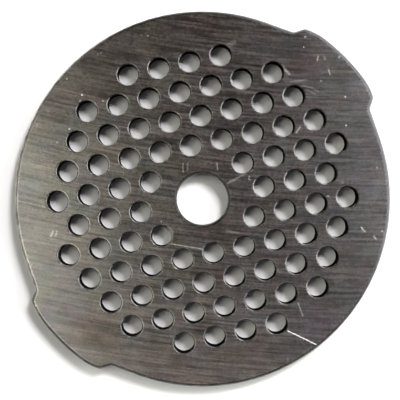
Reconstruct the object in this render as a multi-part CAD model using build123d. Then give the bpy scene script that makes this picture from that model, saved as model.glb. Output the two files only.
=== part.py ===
from build123d import *

import math
import os

# A grinder plate: a flat steel disc that a turning knife sweeps. The bore in its middle carries
# the end of the feed screw, the field of small round holes lets the minced food through, and
# two opposite lugs on the rim keep the plate from turning in its housing.
#
# Millimetres and degrees. The plate lies on its lower face: Z = 0 is that face, +Z runs up
# through the bore, and +X runs through the middle of one lug.

# Disc and bore
DISC_DIAMETER = 54.0
PLATE_THICKNESS = 3.0
BORE_DIAMETER = 7.5

# Field of holes: a triangular grid with one of its points on the bore's axis
HOLE_DIAMETER = 3.0
HOLE_PITCH = 4.55
GRID_TURN = 27.0  # from +X to a row of holes; the pattern is 3 degrees off the lugs' mirror line
HUB_WALL = 1.75  # least wall kept between the bore and a hole
RIM_WALL = 4.0  # least wall kept between a hole and the disc's edge

# Lugs: from its middle out, a lug has a crest arc, rounded shoulders, slanted flanks and
# straight feet that run into the round edge of the disc
LUG_HEIGHT = 2.0  # how far the crest stands out of the disc
LUG_WIDTH = 15.5  # over both flanks, at their roots
LUG_FLANK_LEAN = 0.75  # how far each flank leans in from its root to its shoulder
LUG_CREST_WIDTH = 7.6  # the part of the outer edge that is a full-height arc
LUG_SHOULDER_DROP = 0.4  # how far a shoulder falls below the crest
LUG_FOOT_LENGTH = 3.85
LUG_SHOULDER_RADIUS = 0.9
LUG_ROOT_RADIUS = 0.5

# Edges: the small holes stay sharp, because their edges shear the food against the knife
RIM_EDGE_BREAK = 0.3
BORE_EDGE_BREAK = 0.2

DISC_RADIUS = DISC_DIAMETER / 2
CREST_RADIUS = DISC_RADIUS + LUG_HEIGHT


def point_on_circle(radius, offset):
    """The point of a circle about the origin that lies offset above the X axis, on the +X side."""
    return Vector(math.sqrt(radius**2 - offset**2), offset)


def mirror_images(vertices, corner):
    """The vertices as far from the bore as a corner of the quarter outline: that corner and its images."""
    return [v for v in vertices if abs(Vector(v).length - corner.length) < 1e-4]


def plate_outline():
    """The disc with its two lugs, drawn as one quarter and mirrored across both middle lines."""
    crest_end = point_on_circle(CREST_RADIUS, LUG_CREST_WIDTH / 2)
    shoulder = point_on_circle(CREST_RADIUS - LUG_SHOULDER_DROP, LUG_WIDTH / 2 - LUG_FLANK_LEAN)
    foot = point_on_circle(DISC_RADIUS, LUG_WIDTH / 2 + LUG_FOOT_LENGTH)
    root = foot + Vector(foot.Y, -foot.X) * (LUG_FOOT_LENGTH / foot.X)
    crest_angle = math.degrees(math.atan2(crest_end.Y, crest_end.X))
    foot_angle = math.degrees(math.atan2(foot.Y, foot.X))

    with BuildSketch() as outline:
        with BuildLine():
            CenterArc((0, 0), CREST_RADIUS, 0, crest_angle)
            TangentArc(crest_end, shoulder, tangent=(-crest_end.Y, crest_end.X))
            Line(shoulder, root)
            Line(root, foot)
            CenterArc((0, 0), DISC_RADIUS, foot_angle, 90 - foot_angle)
            mirror(about=Plane.XZ)
            mirror(about=Plane.YZ)
        make_face()
        fillet(mirror_images(outline.vertices(), shoulder), LUG_SHOULDER_RADIUS)
        fillet(mirror_images(outline.vertices(), root), LUG_ROOT_RADIUS)
    return outline.sketch


def hole_centres():
    """The grid points whose whole hole lies between the hub's wall and the rim's wall."""
    nearest = BORE_DIAMETER / 2 + HUB_WALL + HOLE_DIAMETER / 2
    furthest = DISC_RADIUS - RIM_WALL - HOLE_DIAMETER / 2
    row = Vector(HOLE_PITCH, 0).rotate(Axis.Z, GRID_TURN)
    next_row = row.rotate(Axis.Z, 60)
    reach = 2 * math.ceil(furthest / HOLE_PITCH)
    steps = range(-reach, reach + 1)
    points = [row * i + next_row * j for i in steps for j in steps]
    return [p for p in points if nearest <= p.length <= furthest]


def grinder_plate():
    """The plate: outline, bore and holes through one thickness, with the rim and bore edges broken."""
    with BuildPart() as plate:
        with BuildSketch():
            add(plate_outline())
            Circle(BORE_DIAMETER / 2, mode=Mode.SUBTRACT)
            with Locations(hole_centres()):
                Circle(HOLE_DIAMETER / 2, mode=Mode.SUBTRACT)
        extrude(amount=PLATE_THICKNESS)

        bore_wall = plate.faces().sort_by_distance((0, 0, PLATE_THICKNESS / 2))[0]
        chamfer(bore_wall.edges().filter_by(GeomType.CIRCLE), BORE_EDGE_BREAK)
        upper_face = plate.faces().sort_by(Axis.Z)[-1]
        chamfer(upper_face.outer_wire().edges(), RIM_EDGE_BREAK)
    return plate.part


os.makedirs("parts", exist_ok=True)
export_step(grinder_plate(), "parts/grinder_plate.step")
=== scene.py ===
import math

import bpy
import bmesh
from mathutils import Matrix, Vector


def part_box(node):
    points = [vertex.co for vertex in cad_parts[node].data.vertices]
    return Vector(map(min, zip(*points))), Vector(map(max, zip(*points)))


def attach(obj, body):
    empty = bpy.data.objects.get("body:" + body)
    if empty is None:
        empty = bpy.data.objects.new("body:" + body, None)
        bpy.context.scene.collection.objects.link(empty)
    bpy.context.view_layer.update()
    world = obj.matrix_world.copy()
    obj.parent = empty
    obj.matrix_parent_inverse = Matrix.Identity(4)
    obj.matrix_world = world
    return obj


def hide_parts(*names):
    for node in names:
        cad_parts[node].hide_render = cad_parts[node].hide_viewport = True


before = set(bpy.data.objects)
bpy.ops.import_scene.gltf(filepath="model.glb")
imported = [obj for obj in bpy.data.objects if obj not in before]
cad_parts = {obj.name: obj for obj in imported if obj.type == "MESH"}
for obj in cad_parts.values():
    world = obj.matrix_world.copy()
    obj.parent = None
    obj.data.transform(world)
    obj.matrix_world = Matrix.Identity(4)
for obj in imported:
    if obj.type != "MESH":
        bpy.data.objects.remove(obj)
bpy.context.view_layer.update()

MM = 0.001
_, PLATE_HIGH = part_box("grinder_plate")
PLATE_TOP = PLATE_HIGH.z
DISC_RADIUS = PLATE_HIGH.y

# ---------------------------------------------------------------- framing
# The plate is seen from straight above, turned so that +X, the middle of one lug, points to the
# upper right of the view.
VIEW_SIDE_PX = 400
PIXELS_PER_MM = 6.965
PLATE_TURN = math.radians(44.8)
DISC_CENTRE_PX = (202.3, 199.3)
FOOT_PX = (205.0, 190.0)
CAMERA_HEIGHT = 147 * MM
NEAR_CLIP = 0.01

VIEW_RIGHT = Vector((math.cos(PLATE_TURN), -math.sin(PLATE_TURN), 0))
VIEW_UP = Vector((math.sin(PLATE_TURN), math.cos(PLATE_TURN), 0))


def view_point(px, height=PLATE_TOP):
    """The point at some height that shows at a pixel of the view."""
    right = (px[0] - DISC_CENTRE_PX[0]) / PIXELS_PER_MM * MM
    up = (DISC_CENTRE_PX[1] - px[1]) / PIXELS_PER_MM * MM
    return VIEW_RIGHT * right + VIEW_UP * up + Vector((0, 0, height))


def view_direction(azimuth, elevation):
    """A unit vector from the plate, by degrees from the view's right edge and above the floor."""
    azimuth, elevation = math.radians(azimuth), math.radians(elevation)
    level = VIEW_RIGHT * math.cos(azimuth) + VIEW_UP * math.sin(azimuth)
    return level * math.cos(elevation) + Vector((0, 0, math.sin(elevation)))


def add_camera():
    """The camera stands over FOOT_PX and looks at the middle of the view, kept upright."""
    half = VIEW_SIDE_PX / 2
    centre = view_point((half, half))
    data = bpy.data.cameras.new("camera")
    data.angle = 2 * math.atan(half / PIXELS_PER_MM * MM / CAMERA_HEIGHT)
    data.clip_start = NEAR_CLIP
    camera = bpy.data.objects.new("camera", data)
    camera.location = view_point(FOOT_PX) + Vector((0, 0, CAMERA_HEIGHT))
    back = (camera.location - centre).normalized()
    right = VIEW_UP.cross(back).normalized()
    up = back.cross(right)
    camera.rotation_euler = Matrix((right, up, back)).transposed().to_euler()
    bpy.context.scene.collection.objects.link(camera)
    bpy.context.scene.camera = camera


# ---------------------------------------------------------------- shader graph
class Graph:
    """Adds nodes to one node tree; each call returns the new node's first output."""

    def __init__(self, tree):
        self.tree = tree

    def node(self, kind, *values, inputs=None, **settings):
        """A new node: its first sockets by order, others by name in inputs, settings by name."""
        new = self.tree.nodes.new("ShaderNode" + kind)
        for key, value in settings.items():
            setattr(new, key, value)
        for number, value in enumerate(values):
            self.feed(new.inputs[number], value)
        for key, value in (inputs or {}).items():
            self.feed(new.inputs[key], value)
        return new

    def feed(self, socket, value):
        """Links another node's output to a socket, or sets the socket to a plain value."""
        if isinstance(value, bpy.types.NodeSocket):
            self.tree.links.new(value, socket)
        elif value is not None:
            socket.default_value = value

    def math(self, operation, *values, **settings):
        return self.node("Math", *values, operation=operation, **settings).outputs[0]

    def vector(self, operation, *values):
        new = self.node("VectorMath", *values, operation=operation)
        return new.outputs["Value" if operation in ("DOT_PRODUCT", "LENGTH", "DISTANCE") else "Vector"]

    def remap(self, value, low, high, to_low=0.0, to_high=1.0):
        """A smooth step from to_low to to_high while the value goes from low to high."""
        return self.node("MapRange", value, low, high, to_low, to_high,
                         interpolation_type="SMOOTHSTEP").outputs[0]

    def noise(self, coordinates, scale, detail=2.0, roughness=0.5):
        inputs = {"Vector": coordinates, "Scale": scale, "Detail": detail, "Roughness": roughness}
        return self.node("TexNoise", inputs=inputs).outputs["Fac"]

    def clouds(self, coordinates, size, detail, roughness):
        """Noise by the size of its clouds, in metres."""
        return self.noise(coordinates, 1 / size, detail, roughness)

    def mix(self, factor, one, other, blend="MIX"):
        new = self.node("Mix", data_type="RGBA", blend_type=blend, clamp_factor=True)
        self.feed(new.inputs[0], factor)
        self.feed(new.inputs[6], one)
        self.feed(new.inputs[7], other)
        return new.outputs[2]

    def combine(self, x, y, z=0.0):
        return self.node("CombineXYZ", x, y, z).outputs[0]

    def place(self):
        """The place on the part, in metres."""
        return self.node("TexCoord").outputs["Object"]


def new_material(name, values):
    """A new material, its graph and its shader, with the shader's plain values set by name."""
    material = bpy.data.materials.new(name)
    material.use_nodes = True
    shader = material.node_tree.nodes["Principled BSDF"]
    for key, value in values.items():
        shader.inputs[key].default_value = value
    return material, Graph(material.node_tree), shader


def new_object(name, shape):
    """An object in the scene, at the origin, of a bmesh that is then freed."""
    mesh = bpy.data.meshes.new(name)
    shape.to_mesh(mesh)
    shape.free()
    made = bpy.data.objects.new(name, mesh)
    bpy.context.scene.collection.objects.link(made)
    return made


# ---------------------------------------------------------------- lights, room and floor
LIGHT_DISTANCE = 0.6
FLOOR_RADIUS = 1.5
BACKDROP_RADIUS = 0.75
STAGE_SEGMENTS = 96
BLACK = (0, 0, 0, 1)
WHITE = (1, 1, 1, 1)
FLOOR_TONE = (0.84, 0.84, 0.83, 1)
BACKDROP_TONE = (0.86, 0.86, 0.85, 1)
# Each window: degrees from the view's right edge, degrees above the floor, degrees across and
# up, the share of white that it gives the open floor, and its colour.
WINDOWS = {
    "key_window": (54, 53, 12, 18, 0.73, (0.99, 0.965, 1.0)),
    "side_window": (6, 35, 70, 26, 0.55, (0.98, 1.0, 0.97)),
    "back_window": (150, 66, 36, 26, 0.26, (1.0, 0.98, 0.89)),
    "ceiling": (54, 88, 60, 60, 0.05, (1.0, 0.98, 1.0)),
}


def add_window(name, azimuth, elevation, across, up, share, colour):
    """A soft round light for the floor and the holes; the plate mirrors the room instead."""
    data = bpy.data.lights.new(name, "AREA")
    data.shape = "ELLIPSE"
    data.size = 2 * LIGHT_DISTANCE * math.tan(math.radians(across / 2))
    data.size_y = 2 * LIGHT_DISTANCE * math.tan(math.radians(up / 2))
    slant = math.sin(math.radians(elevation))
    data.energy = share * (math.pi * LIGHT_DISTANCE) ** 2 / (slant * FLOOR_TONE[0])
    data.color = colour
    light = bpy.data.objects.new(name, data)
    direction = view_direction(azimuth, elevation)
    light.location = direction * LIGHT_DISTANCE
    light.rotation_euler = direction.to_track_quat("Z", "Y").to_euler()
    light.visible_camera = False
    light.visible_glossy = False
    bpy.context.scene.collection.objects.link(light)


def add_floor():
    """A pale matt floor under the plate."""
    shape = bmesh.new()
    bmesh.ops.create_circle(shape, cap_ends=True, segments=STAGE_SEGMENTS, radius=FLOOR_RADIUS)
    floor = new_object("floor", shape)
    values = {"Base Color": FLOOR_TONE, "Roughness": 0.9, "Specular IOR Level": 0.2}
    floor.data.materials.append(new_material("pale_floor", values)[0])


def add_backdrop():
    """A pale wall round the floor; it is only seen, and neither lights nor shows in the steel."""
    shape = bmesh.new()
    bmesh.ops.create_cone(shape, cap_ends=False, segments=STAGE_SEGMENTS, radius1=BACKDROP_RADIUS,
                          radius2=BACKDROP_RADIUS, depth=2 * BACKDROP_RADIUS)
    backdrop = new_object("backdrop", shape)
    backdrop.visible_diffuse = False
    backdrop.visible_glossy = False
    backdrop.visible_shadow = False
    values = {"Base Color": BLACK, "Specular IOR Level": 0, "Emission Color": BACKDROP_TONE,
              "Emission Strength": 1}
    backdrop.data.materials.append(new_material("pale_backdrop", values)[0])


ROOM_WALLS_LEFT = (0.25, 0.24, 0.22, 1)
ROOM_WALLS_RIGHT = (0.55, 0.57, 0.57, 1)
ROOM_BASE = (0.014, 0.004, 0.002, 1)
ROOM_HAZE = (0.12, 0.12, 0.10, 1)
ROOM_HAZE_SLOPES = (0.3, 1.0)
# The room's walls begin to hide its ceiling at the higher of these heights of a direction.
ROOM_WALL_HEIGHTS = (0.35, 0.15)
# The walls go from left to right between these shares of a direction to the view's right.
ROOM_WALL_SHARES = (-0.5, 0.6)
# A direction counts as at least this high, so that slopes near the floor stay in bounds.
LOWEST_RISE = 0.05
# Soft bright parts of the room. Each has its middle overhead, as slopes to the view's right and
# up, its half widths in the same slopes, its edge (1 fades, 2 is crisper) and its light.
ROOM_PATCHES = {
    "pale_wall": ((-0.40, -0.20), (0.18, 0.20), 1, (2.55, 2.65, 2.30, 1)),
    "pale_corner": ((-0.43, -0.36), (0.17, 0.22), 1, (2.25, 2.30, 2.22, 1)),
    "near_wall": ((0.05, -0.42), (0.22, 0.15), 1, (0.42, 0.38, 0.36, 1)),
    "near_right": ((0.32, -0.40), (0.16, 0.16), 1, (0.08, 0.18, 0.22, 1)),
    "far_wall": ((0.40, 0.20), (0.17, 0.17), 1, (2.05, 2.15, 2.30, 1)),
    "table_side": ((1.0, -0.24), (0.77, 0.15), 1, (0.18, 0.21, 0.26, 1)),
    "key_glint": ((0.50, 0.68), (0.14, 0.18), 2, (9.0, 9.0, 9.2, 1)),
    "side_glint": ((1.30, 0.00), (0.25, 1.00), 2, (4.0, 4.0, 4.1, 1)),
}


def room_patch(graph, overhead, place, width, edge, colour):
    """The light of one soft patch of the room, for a direction given by its slopes."""
    offset = graph.vector("SUBTRACT", overhead, (*place, 0))
    scaled = graph.vector("DIVIDE", offset, (*width, 1))
    square = graph.vector("DOT_PRODUCT", scaled, scaled)
    fall = graph.math("MULTIPLY", graph.math("POWER", square, edge), -1.0)
    return graph.mix(graph.math("EXPONENT", fall), BLACK, colour)


def set_room():
    """The room that the steel mirrors; it gives no light to the floor or to matt walls."""
    world = bpy.data.worlds.new("room")
    bpy.context.scene.world = world
    world.use_nodes = True
    world.cycles_visibility.diffuse = False
    graph = Graph(world.node_tree)
    background = world.node_tree.nodes["Background"]
    direction = graph.node("TexCoord").outputs["Generated"]
    height = graph.node("SeparateXYZ", direction).outputs[2]
    rise = graph.math("MAXIMUM", height, LOWEST_RISE)
    right = graph.vector("DOT_PRODUCT", direction, tuple(VIEW_RIGHT))
    up = graph.vector("DOT_PRODUCT", direction, tuple(VIEW_UP))
    overhead = graph.combine(graph.math("DIVIDE", right, rise), graph.math("DIVIDE", up, rise))
    haze = graph.remap(graph.vector("LENGTH", overhead), *ROOM_HAZE_SLOPES)
    light = graph.mix(haze, ROOM_BASE, ROOM_HAZE)
    for patch in ROOM_PATCHES.values():
        light = graph.mix(1.0, light, room_patch(graph, overhead, *patch), "ADD")
    walls = graph.mix(graph.remap(right, *ROOM_WALL_SHARES), ROOM_WALLS_LEFT, ROOM_WALLS_RIGHT)
    low = graph.remap(height, *ROOM_WALL_HEIGHTS)
    graph.feed(background.inputs["Color"], graph.mix(low, light, walls))


# ---------------------------------------------------------------- plate
EDGE_ROLL = 0.13 * MM
EDGE_STEPS = 3
SEAM = 0.25 * MM
SAME_POINT = 1e-6
COPLANAR = math.radians(1)
SHARP = math.radians(30)
# The upright part of a face's normal: above FLAT it lies flat, under STEEP it is a side, and over
# CREST it is the top strip of a rolled edge.
FLAT = 0.999
STEEP = 0.3
CREST = 0.9
# How far the rim's own edges reach in from the lugless rim, and the bore's out from its middle.
RIM_BAND = 1.5 * MM
BORE_BAND = 5 * MM
# Three slots carry painted shade: the holes' walls, the bevels of rim and bore (with a painted highlight
# on one side of the rim), and the hole edges turned from the light.
FACE_SLOT, SHADED_WALL_SLOT, WORN_SLOT, SHADED_BEVEL_SLOT, SIDE_SLOT, SHADED_EDGE_SLOT = range(6)
# Degrees from the view's right edge: the side where the rim's bevel gets a painted highlight, the side
# where it gets a paler painted tone, and the way that the hole edges in painted shade face.
HIGHLIGHT_AZIMUTH = 168
PALE_SIDE_AZIMUTH = 28
SHADED_EDGE_AZIMUTH = 225
# Past this share of the radius, towards the side of the painted highlight, the rim's crest keeps its
# pale worn edge as a painted highlight.
CREST_SHARE = 0.75


def in_a_hole(place):
    """Whether a point is on the wall of a hole and not on the outer rim."""
    return place.xy.length < DISC_RADIUS - SEAM


def rolled_plate(node):
    """The plate with every edge rolled over, as its faces leave the grinder and its holes the drill."""
    shape = bmesh.new()
    shape.from_mesh(node.data)
    bmesh.ops.remove_doubles(shape, verts=shape.verts, dist=SAME_POINT)
    shape.normal_update()
    walls = [face for face in shape.faces if abs(face.normal.z) < FLAT]
    bmesh.ops.join_triangles(shape, faces=walls, angle_face_threshold=COPLANAR,
                             angle_shape_threshold=math.pi)
    for side in (1, -1):
        flat = [face for face in shape.faces if face.normal.z * side > FLAT]
        bmesh.ops.inset_region(shape, faces=flat, thickness=SEAM, use_boundary=True,
                               use_even_offset=True)
    shape.normal_update()
    for face in shape.faces:
        face.smooth = True
        # The walls of the holes take the wall material in painted shade.
        drilled = abs(face.normal.z) < STEEP and in_a_hole(face.calc_center_median())
        face.material_index = SHADED_WALL_SLOT if drilled else FACE_SLOT
    edges = [edge for edge in shape.edges if edge.calc_face_angle(0) > SHARP]
    bmesh.ops.bevel(shape, geom=edges, offset=EDGE_ROLL, offset_type="OFFSET", segments=EDGE_STEPS,
                    profile=0.5, affect="EDGES", clamp_overlap=False, material=WORN_SLOT)
    shape.normal_update()
    sort_edges(shape)
    plate = new_object("ground_plate", shape)
    normals = plate.modifiers.new("face_weighted", "WEIGHTED_NORMAL")
    normals.weight = 50
    return plate


def sort_edges(shape):
    """Gives the rolled edges of rim, bore and holes, and the rim's side, their own materials: painted
    shade on the rim's and bore's edges and on the holes' edges turned from the light, with a painted
    highlight on one side of the rim.
    """
    shade_way = view_direction(SHADED_EDGE_AZIMUTH, 0)
    highlight_way = view_direction(HIGHLIGHT_AZIMUTH, 0)
    for face in shape.faces:
        middle = face.calc_center_median()
        reach = middle.xy.length
        broken = reach > DISC_RADIUS - RIM_BAND or reach < BORE_BAND
        # On the side of the painted highlight, the rim's crest keeps the pale worn edge as a painted
        # highlight.
        highlit_crest = face.normal.z > CREST and middle.dot(highlight_way) > CREST_SHARE * DISC_RADIUS
        rolled = face.material_index == WORN_SLOT or STEEP < abs(face.normal.z) < FLAT
        # The rim's and bore's rolled edges take the bevel in painted shade.
        if broken and rolled and not highlit_crest:
            face.material_index = SHADED_BEVEL_SLOT
        elif reach > DISC_RADIUS - SEAM and abs(face.normal.z) < STEEP:
            face.material_index = SIDE_SLOT
        # Hole edges turned from the light take near-black painted shade.
        elif rolled and not broken and face.normal.dot(shade_way) > 0:
            face.material_index = SHADED_EDGE_SLOT


# The grinding lines are arcs about the wheel's centre, and are measured where they pass WHEEL_PX.
WHEEL_CENTRE_PX = (375, -1300)
WHEEL_PX = (200, 200)
WHEEL_CENTRE = view_point(WHEEL_CENTRE_PX, 0)
WHEEL_RADIUS = (WHEEL_CENTRE - view_point(WHEEL_PX, 0)).length


def grinding_coordinates(graph):
    """Along the grinding lines, across them, and the place turned to the view, in metres."""
    turned = graph.node("Mapping", graph.place(), vector_type="POINT",
                        inputs={"Rotation": (0, 0, PLATE_TURN)}).outputs[0]
    centre = Matrix.Rotation(PLATE_TURN, 3, "Z") @ WHEEL_CENTRE
    offset = graph.vector("SUBTRACT", turned, (centre.x, centre.y, 0))
    parts = graph.node("SeparateXYZ", offset)
    down = graph.math("MULTIPLY", parts.outputs[1], -1.0)
    angle = graph.math("ARCTAN2", parts.outputs[0], down)
    flat = graph.combine(parts.outputs[0], parts.outputs[1])
    return graph.math("MULTIPLY", angle, WHEEL_RADIUS), graph.vector("LENGTH", flat), turned


# Straight marks that show on the plate: both ends in pixels, half width in pixels, strength.
SCRATCHES = [
    ((288, 331), (319, 346), 0.5, 0.85),
    ((172, 244), (205, 249.5), 0.45, 0.32),
    ((228, 183), (252, 170), 1.0, 0.15),
    ((53, 231), (50.5, 237), 0.45, 0.55),
    ((57, 231), (55.5, 236), 0.45, 0.45),
    ((18, 201), (45, 207), 0.4, 0.25),
    ((183, 163), (183, 172), 0.45, 0.26),
    ((188, 163), (187.5, 170), 0.4, 0.2),
    ((217, 163), (217.5, 170), 0.45, 0.25),
    ((300, 127), (296, 133), 0.5, 0.36),
    ((302, 86), (312, 88), 0.9, 0.11),
    ((312, 88), (318, 92), 0.8, 0.13),
    ((306, 90), (315, 94), 0.9, 0.08),
    ((290, 82), (306, 80), 0.7, 0.10),
    ((249.5, 176), (248.5, 179), 0.4, 0.35),
    ((248.5, 179), (251, 180), 0.4, 0.30),
    ((227, 231), (238, 233), 1.2, 0.08),
    ((324, 57), (325, 60), 0.45, 0.22),
    ((318, 56), (317, 61), 0.45, 0.40),
    ((328, 69), (330, 75), 0.45, 0.36),
    ((283, 68), (289, 74), 1.3, 0.24),
    ((165, 96), (178, 103), 0.6, 0.12),
    ((178, 103), (190, 106), 0.6, 0.12),
    ((222, 51), (234, 42), 2.2, 0.07),
    ((361, 227), (365, 232), 0.45, 0.55),
    ((373.5, 236), (376, 239), 0.45, 0.50),
    ((298, 303), (303, 316), 0.5, 0.25),
]
# Small bright nicks: place in pixels, radius in pixels, strength.
NICKS = [
    ((148, 36), 0.6, 0.6), ((37, 125), 0.6, 0.5), ((31, 125), 0.5, 0.5), ((82, 95), 0.8, 0.8),
    ((80, 101), 0.6, 0.5), ((67, 79), 0.6, 0.6), ((98, 54), 0.5, 0.5), ((101, 53), 0.5, 0.5),
    ((48, 111), 0.6, 0.5), ((69.5, 129), 0.8, 0.7), ((57, 142.5), 0.6, 0.5), ((103, 101), 0.7, 0.6),
    ((310.5, 33.5), 0.7, 0.9), ((305, 37.3), 0.6, 0.9), ((303.5, 47.3), 0.6, 0.8),
    ((338.8, 57.4), 0.7, 1.0), ((321, 81), 0.6, 0.6), ((345, 97), 0.8, 0.6), ((346, 125.5), 0.7, 0.7),
    ((377, 167.5), 0.6, 0.6), ((342.5, 183), 0.6, 0.6), ((328, 196), 0.6, 0.6),
    ((161.5, 221.5), 0.6, 0.6), ((230, 203), 0.6, 0.5), ((382, 231), 0.6, 0.9), ((384, 233), 0.5, 0.8),
]
# Broad stains, and broad patches of painted reflection that make the steel lighter or darker: place in
# pixels, radius in pixels, and the tint that they give the steel.
STAINS_AND_PAINTED_REFLECTION = [
    ((84, 40), 72, (0.735, 0.69, 0.70, 1)),
    ((215, 15), 50, (1.04, 0.985, 0.985, 1)),
    ((205, 205), 32, (1.05, 0.98, 0.97, 1)),
    ((180, 372), 36, (1.03, 0.985, 0.985, 1)),
    ((14, 160), 34, (1.22, 1.20, 1.18, 1)),
    ((190, 95), 26, (1.14, 1.14, 1.14, 1)),
    ((56, 225), 36, (1.12, 1.14, 1.12, 1)),
    ((378, 215), 30, (1.16, 1.16, 1.18, 1)),
    ((303, 86), 12, (1.18, 1.15, 1.20, 1)),
    ((97, 333), 22, (0.86, 0.80, 0.76, 1)),
    ((58, 312), 42, (1.01, 0.98, 1.01, 1)),
    ((318, 318), 26, (1.05, 1.00, 1.12, 1)),
    ((298, 62), 16, (0.88, 0.78, 0.78, 1)),
    ((362, 88), 12, (1.22, 1.22, 1.25, 1)),
    ((374, 86), 9, (1.30, 1.32, 1.38, 1)),
]


# A mark's edge fades between these shares of its half width or radius.
FADE_OUT, FADE_IN = 1.5, 0.5
# The core of a stain or patch of painted reflection, as a share of its radius.
STAIN_AND_REFLECTION_CORE = 0.2
# Fine specks all over: their spacing and radius, the draws that make one, and their strength.
SPECKS = ((2.4 * MM, 0.07 * MM), (1.3 * MM, 0.05 * MM))
SPECK_CORE = 0.3
SPECK_DRAWS = (0.72, 1.0)
SPECK_STRENGTH = 0.7


def near_segment(graph, place, start, end, half_width):
    """How near a place is to a straight mark: 1 on its middle line, 0 beside it."""
    start, end = (view_point(px, 0) for px in (start, end))
    run = end - start
    offset = graph.vector("SUBTRACT", place, tuple(start))
    share = graph.math("MULTIPLY", graph.vector("DOT_PRODUCT", offset, tuple(run)),
                       1 / run.length_squared, use_clamp=True)
    nearest = graph.node("VectorMath", tuple(run), inputs={"Scale": share},
                         operation="SCALE").outputs[0]
    width = half_width / PIXELS_PER_MM * MM
    return graph.remap(graph.vector("DISTANCE", offset, nearest), width * FADE_OUT, width * FADE_IN)


def near_point(graph, place, px, radius_px, core):
    """How near a place is to a round mark: 1 inside its core, 0 beyond its fading edge."""
    radius = radius_px / PIXELS_PER_MM * MM
    distance = graph.vector("DISTANCE", place, tuple(view_point(px, 0)))
    return graph.remap(distance, radius * FADE_OUT, radius * core)


def marks(graph, place):
    """The strength of all scratches, nicks and specks together."""
    total = 0.0
    for start, end, half_width, strength in SCRATCHES:
        mark = near_segment(graph, place, start, end, half_width)
        total = graph.math("MAXIMUM", total, graph.math("MULTIPLY", mark, strength))
    for px, radius, strength in NICKS:
        mark = near_point(graph, place, px, radius, FADE_IN)
        total = graph.math("MAXIMUM", total, graph.math("MULTIPLY", mark, strength))
    for spacing, radius in SPECKS:
        cell = graph.node("TexVoronoi", inputs={"Vector": place, "Scale": 1 / spacing})
        draw = graph.node("SeparateXYZ", cell.outputs["Color"]).outputs[0]
        share = radius / spacing
        near = graph.remap(cell.outputs["Distance"], share * FADE_OUT, share * SPECK_CORE)
        mark = graph.math("MULTIPLY", near, graph.remap(draw, *SPECK_DRAWS, 0.0, SPECK_STRENGTH))
        total = graph.math("MAXIMUM", total, mark)
    return total


# ---------------------------------------------------------------- materials
STEEL_TONE = (0.54, 0.508, 0.488, 1)
SCRATCH_TONE = (0.85, 0.84, 0.82, 1)
# The steel drifts in clouds between two tints, and again between two others. A cloud is given by its
# size, detail and roughness.
GREEN_TO_RED = ((0.93, 1.0, 0.98, 1), (1.06, 0.98, 0.97, 1))
YELLOW_TO_VIOLET = ((1.0, 1.0, 0.93, 1), (1.0, 0.98, 1.06, 1))
TINT_CLOUD = (4 * MM, 4.0, 0.7)
SECOND_TINT_SHIFT = (0.1, 0, 0)
# Grinding lines: a line's length and width, its detail, and how far it swings the steel's tone.
LINES = {
    "fine": (3 * MM, 0.2 * MM, 2.0, 1.1),
    "long": (9 * MM, 0.35 * MM, 2.0, 1.1),
    "coarse": (14 * MM, 1.1 * MM, 3.0, 1.05),
    "bands": (30 * MM, 5 * MM, 2.0, 0.75),
}
# Clouds: a cloud's size, its detail and roughness, and how far it swings the steel's tone.
CLOUDS = {
    "grain": (0.45 * MM, 3.0, 0.6, 0.5),
    "mottle": (2.2 * MM, 2.0, 0.5, 0.75),
}
# How strong the swings are: at the left rim, in the middle, and the share left at the right rim.
LEFT_SWING, MIDDLE_SWING, RIGHT_SHARE = 0.6, 1.1, 0.68
# The roughness follows the long lines and a share of the grain, over a span of their sum.
GRAIN_DULLNESS = 0.6
DULLNESS_SPAN = (-0.2, 0.2)
GROUND_ROUGHNESS = (0.23, 0.30)
GROUND_ANISOTROPY = 0.7
# The relief is this share of fine lines, and the rest of coarse ones.
FINE_RELIEF = 0.6
LINE_DEPTH = 0.01 * MM
LINE_RELIEF = 0.25
# The middle span of a noise, where it goes from its first tone to its second.
WIDE_SPAN = (0.3, 0.7)
NARROW_SPAN = (0.35, 0.65)


def swing(graph, value, amount):
    """A noise value as a swing of some amount round 0."""
    return graph.math("MULTIPLY", graph.math("SUBTRACT", value, 0.5), amount)


def grinding_noises(graph):
    """Each kind of line and cloud, as a noise and its swing, and the place turned to the view."""
    along, across, turned = grinding_coordinates(graph)
    noises = {}
    for kind, (length, width, detail, amount) in LINES.items():
        at = graph.combine(graph.math("DIVIDE", along, length), graph.math("DIVIDE", across, width))
        noises[kind] = (graph.noise(at, 1.0, detail), amount)
    for kind, (*cloud, amount) in CLOUDS.items():
        noises[kind] = (graph.clouds(turned, *cloud), amount)
    return noises, turned


def steel_gain(graph, place, noises):
    """The brightness of the steel round 1, by all its lines and clouds together."""
    sideways = graph.vector("DOT_PRODUCT", place, tuple(VIEW_RIGHT))
    to_left = graph.remap(sideways, -DISC_RADIUS, 0, LEFT_SWING, MIDDLE_SWING)
    to_right = graph.remap(sideways, 0, DISC_RADIUS, 1.0, RIGHT_SHARE)
    strength = graph.math("MULTIPLY", to_left, to_right)
    gain = 1.0
    for value, amount in noises.values():
        gain = graph.math("ADD", gain, graph.math("MULTIPLY", swing(graph, value, amount), strength))
    return graph.combine(gain, gain, gain)


def steel_tint(graph, place, turned):
    """The steel's own colour with its cloudy tints, and its stains and patches of painted reflection."""
    shifted = graph.vector("ADD", turned, SECOND_TINT_SHIFT)
    colour = STEEL_TONE
    for coordinates, tints in ((turned, GREEN_TO_RED), (shifted, YELLOW_TO_VIOLET)):
        tint = graph.mix(graph.remap(graph.clouds(coordinates, *TINT_CLOUD), *WIDE_SPAN), *tints)
        colour = graph.mix(1.0, colour, tint, "MULTIPLY")
    # Stains, and patches of painted reflection, tint the steel lighter or darker.
    for px, radius, tint in STAINS_AND_PAINTED_REFLECTION:
        tint_patch = graph.mix(near_point(graph, place, px, radius, STAIN_AND_REFLECTION_CORE), WHITE, tint)
        colour = graph.mix(1.0, colour, tint_patch, "MULTIPLY")
    return colour


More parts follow.
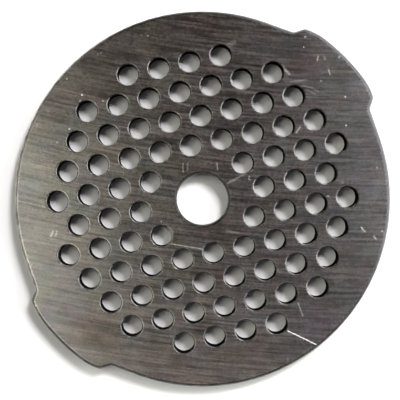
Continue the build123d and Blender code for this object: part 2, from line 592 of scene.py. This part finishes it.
def ground_steel():
    """Steel with the grinding wheel's lines, cloudy tints, stains and patches of painted reflection,
    scratches and nicks.
    """
    material, graph, shader = new_material("ground_steel", {"Anisotropic": GROUND_ANISOTROPY})
    place = graph.place()
    level = graph.vector("MULTIPLY", place, (1, 1, 0))
    noises, turned = grinding_noises(graph)
    tint = steel_tint(graph, level, turned)
    colour = graph.mix(1.0, tint, steel_gain(graph, place, noises), "MULTIPLY")
    mark = marks(graph, level)
    graph.feed(shader.inputs["Base Color"], graph.mix(mark, colour, SCRATCH_TONE))
    graph.feed(shader.inputs["Metallic"], graph.math("SUBTRACT", 1.0, mark))
    fine, long, coarse, grain = (noises[kind][0] for kind in ("fine", "long", "coarse", "grain"))
    dullness = graph.math("ADD", swing(graph, long, 1.0), swing(graph, grain, GRAIN_DULLNESS))
    rough = graph.remap(dullness, *DULLNESS_SPAN, *GROUND_ROUGHNESS)
    graph.feed(shader.inputs["Roughness"], rough)
    radial = graph.vector("NORMALIZE", graph.vector("SUBTRACT", place, tuple(WHEEL_CENTRE)))
    graph.feed(shader.inputs["Tangent"], radial)
    height = graph.math("ADD", graph.math("MULTIPLY", fine, FINE_RELIEF),
                        graph.math("MULTIPLY", coarse, 1 - FINE_RELIEF))
    bump = graph.node("Bump", inputs={"Strength": LINE_RELIEF, "Distance": LINE_DEPTH, "Height": height})
    graph.feed(shader.inputs["Normal"], bump.outputs[0])
    return material


# How often the noise turns per metre: slowly round the wall, and quickly down it as rings.
DRILL_RINGS = (400, 400, 9000)
RING_SPAN = (0.4, 0.75)
# Near-black painted shade for the walls of the holes: it stands in for the shade down in them and
# mirrors nothing.
PAINTED_SHADE_WALL_TONES = ((0.003, 0.003, 0.003, 1), (0.02, 0.018, 0.017, 1))


def shaded_hole_wall():
    """The wall of a drilled hole in near-black painted shade, without any sheen, with the tool's rings
    round it.
    """
    values = {"Metallic": 0, "Specular IOR Level": 0, "Roughness": 0.6}
    material, graph, shader = new_material("shaded_hole_wall", values)
    rings = graph.noise(graph.vector("MULTIPLY", graph.place(), DRILL_RINGS), 1.0)
    graph.feed(shader.inputs["Base Color"], graph.mix(graph.remap(rings, *RING_SPAN), *PAINTED_SHADE_WALL_TONES))
    return material


WEAR_CLOUD = (0.8 * MM, 2.0, 0.5)
WORN_TONES = ((0.40, 0.385, 0.36, 1), (0.90, 0.88, 0.85, 1))
# Near-black painted shade for the hole edges turned from the light.
PAINTED_SHADE_EDGE_TONES = ((0.05, 0.048, 0.046, 1), (0.15, 0.145, 0.137, 1))


def rolled_edge(name, dark, pale):
    """A rolled edge of a hole in two tones: of rubbed steel where the edge is worn, and of painted shade
    on the edges turned from the light.
    """
    material, graph, shader = new_material(name, {"Metallic": 1, "Roughness": 0.30})
    wear = graph.remap(graph.clouds(graph.place(), *WEAR_CLOUD), *NARROW_SPAN)
    graph.feed(shader.inputs["Base Color"], graph.mix(wear, dark, pale))
    return material


BEVEL_CLOUD = (1.5 * MM, 3.0, 0.6)
# Painted shade for the bevels of rim and bore, a painted highlight on one side of the rim, and a paler
# painted tone on another.
BEVEL_SHADE_TONES = ((0.09, 0.087, 0.08, 1), (0.17, 0.166, 0.155, 1))
PAINTED_HIGHLIGHT_TONES = ((0.20, 0.19, 0.17, 1), (0.48, 0.46, 0.41, 1))
PAINTED_PALE_TONE = (0.30, 0.305, 0.32, 1)
# A side of the rim fades in between two shares of a place's outward way that point to its azimuth.
PALE_SIDE_FADE = (0.45, 0.85)
HIGHLIGHT_FADE = (0.60, 0.80)


def shaded_bevel():
    """The broken edges of rim and bore in painted shade, with a painted highlight on one side of the rim
    and a paler painted tone on another.
    """
    material, graph, shader = new_material("shaded_bevel", {"Metallic": 1, "Roughness": 0.4})
    place = graph.place()
    outward = graph.vector("NORMALIZE", graph.vector("MULTIPLY", place, (1, 1, 0)))
    outer = graph.remap(graph.vector("LENGTH", place), BORE_BAND, DISC_RADIUS / 2)

    def side(azimuth, fade):
        """1 on the rim's side that faces some azimuth, 0 on its other sides and at the bore."""
        facing = graph.vector("DOT_PRODUCT", outward, tuple(view_direction(azimuth, 0)))
        return graph.math("MULTIPLY", graph.remap(facing, *fade), outer)

    wear = graph.remap(graph.clouds(place, *BEVEL_CLOUD), *NARROW_SPAN)
    colour = graph.mix(side(PALE_SIDE_AZIMUTH, PALE_SIDE_FADE), graph.mix(wear, *BEVEL_SHADE_TONES), PAINTED_PALE_TONE)
    colour = graph.mix(side(HIGHLIGHT_AZIMUTH, HIGHLIGHT_FADE), colour, graph.mix(wear, *PAINTED_HIGHLIGHT_TONES))
    graph.feed(shader.inputs["Base Color"], colour)
    return material


TURNED_LINES = (6 * MM, 3.0, 0.6)
LINE_STRETCH = (1, 1, 30)
TURNED_TONES = ((0.21, 0.205, 0.195, 1), (0.40, 0.395, 0.38, 1))
TURNED_ROUGHNESS = (0.28, 0.42)
# The side's stains: their clouds, the span over which they deepen, how far, and their tone.
STAIN_CLOUD = (4 * MM, 3.0, 0.6)
STAIN_SPAN = (0.45, 0.75)
STAIN_DEPTH = 0.6
STAIN_TONE = (0.16, 0.15, 0.135, 1)


def turned_rim():
    """The outer side: a turned band, duller than the ground faces, with fine lines round it."""
    material, graph, shader = new_material("turned_rim", {"Metallic": 1})
    place = graph.place()
    lines = graph.clouds(graph.vector("MULTIPLY", place, LINE_STRETCH), *TURNED_LINES)
    tint_patch = graph.clouds(place, *STAIN_CLOUD)
    turned = graph.mix(graph.remap(lines, *WIDE_SPAN), *TURNED_TONES)
    stained = graph.remap(tint_patch, *STAIN_SPAN, 0.0, STAIN_DEPTH)
    graph.feed(shader.inputs["Base Color"], graph.mix(stained, turned, STAIN_TONE))
    graph.feed(shader.inputs["Roughness"], graph.remap(tint_patch, *WIDE_SPAN, *TURNED_ROUGHNESS))
    return material


# ---------------------------------------------------------------- scene
bpy.context.scene.view_settings.view_transform = "Standard"
add_camera()
for name, values in WINDOWS.items():
    add_window(name, *values)
add_floor()
add_backdrop()
set_room()
plate = rolled_plate(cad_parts["grinder_plate"])
# One material for each slot, in the order of the slots.
for material in (ground_steel(), shaded_hole_wall(), rolled_edge("rolled_edge", *WORN_TONES), shaded_bevel(),
                 turned_rim(), rolled_edge("painted_shade_edge", *PAINTED_SHADE_EDGE_TONES)):
    plate.data.materials.append(material)
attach(plate, "root")
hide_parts("grinder_plate")
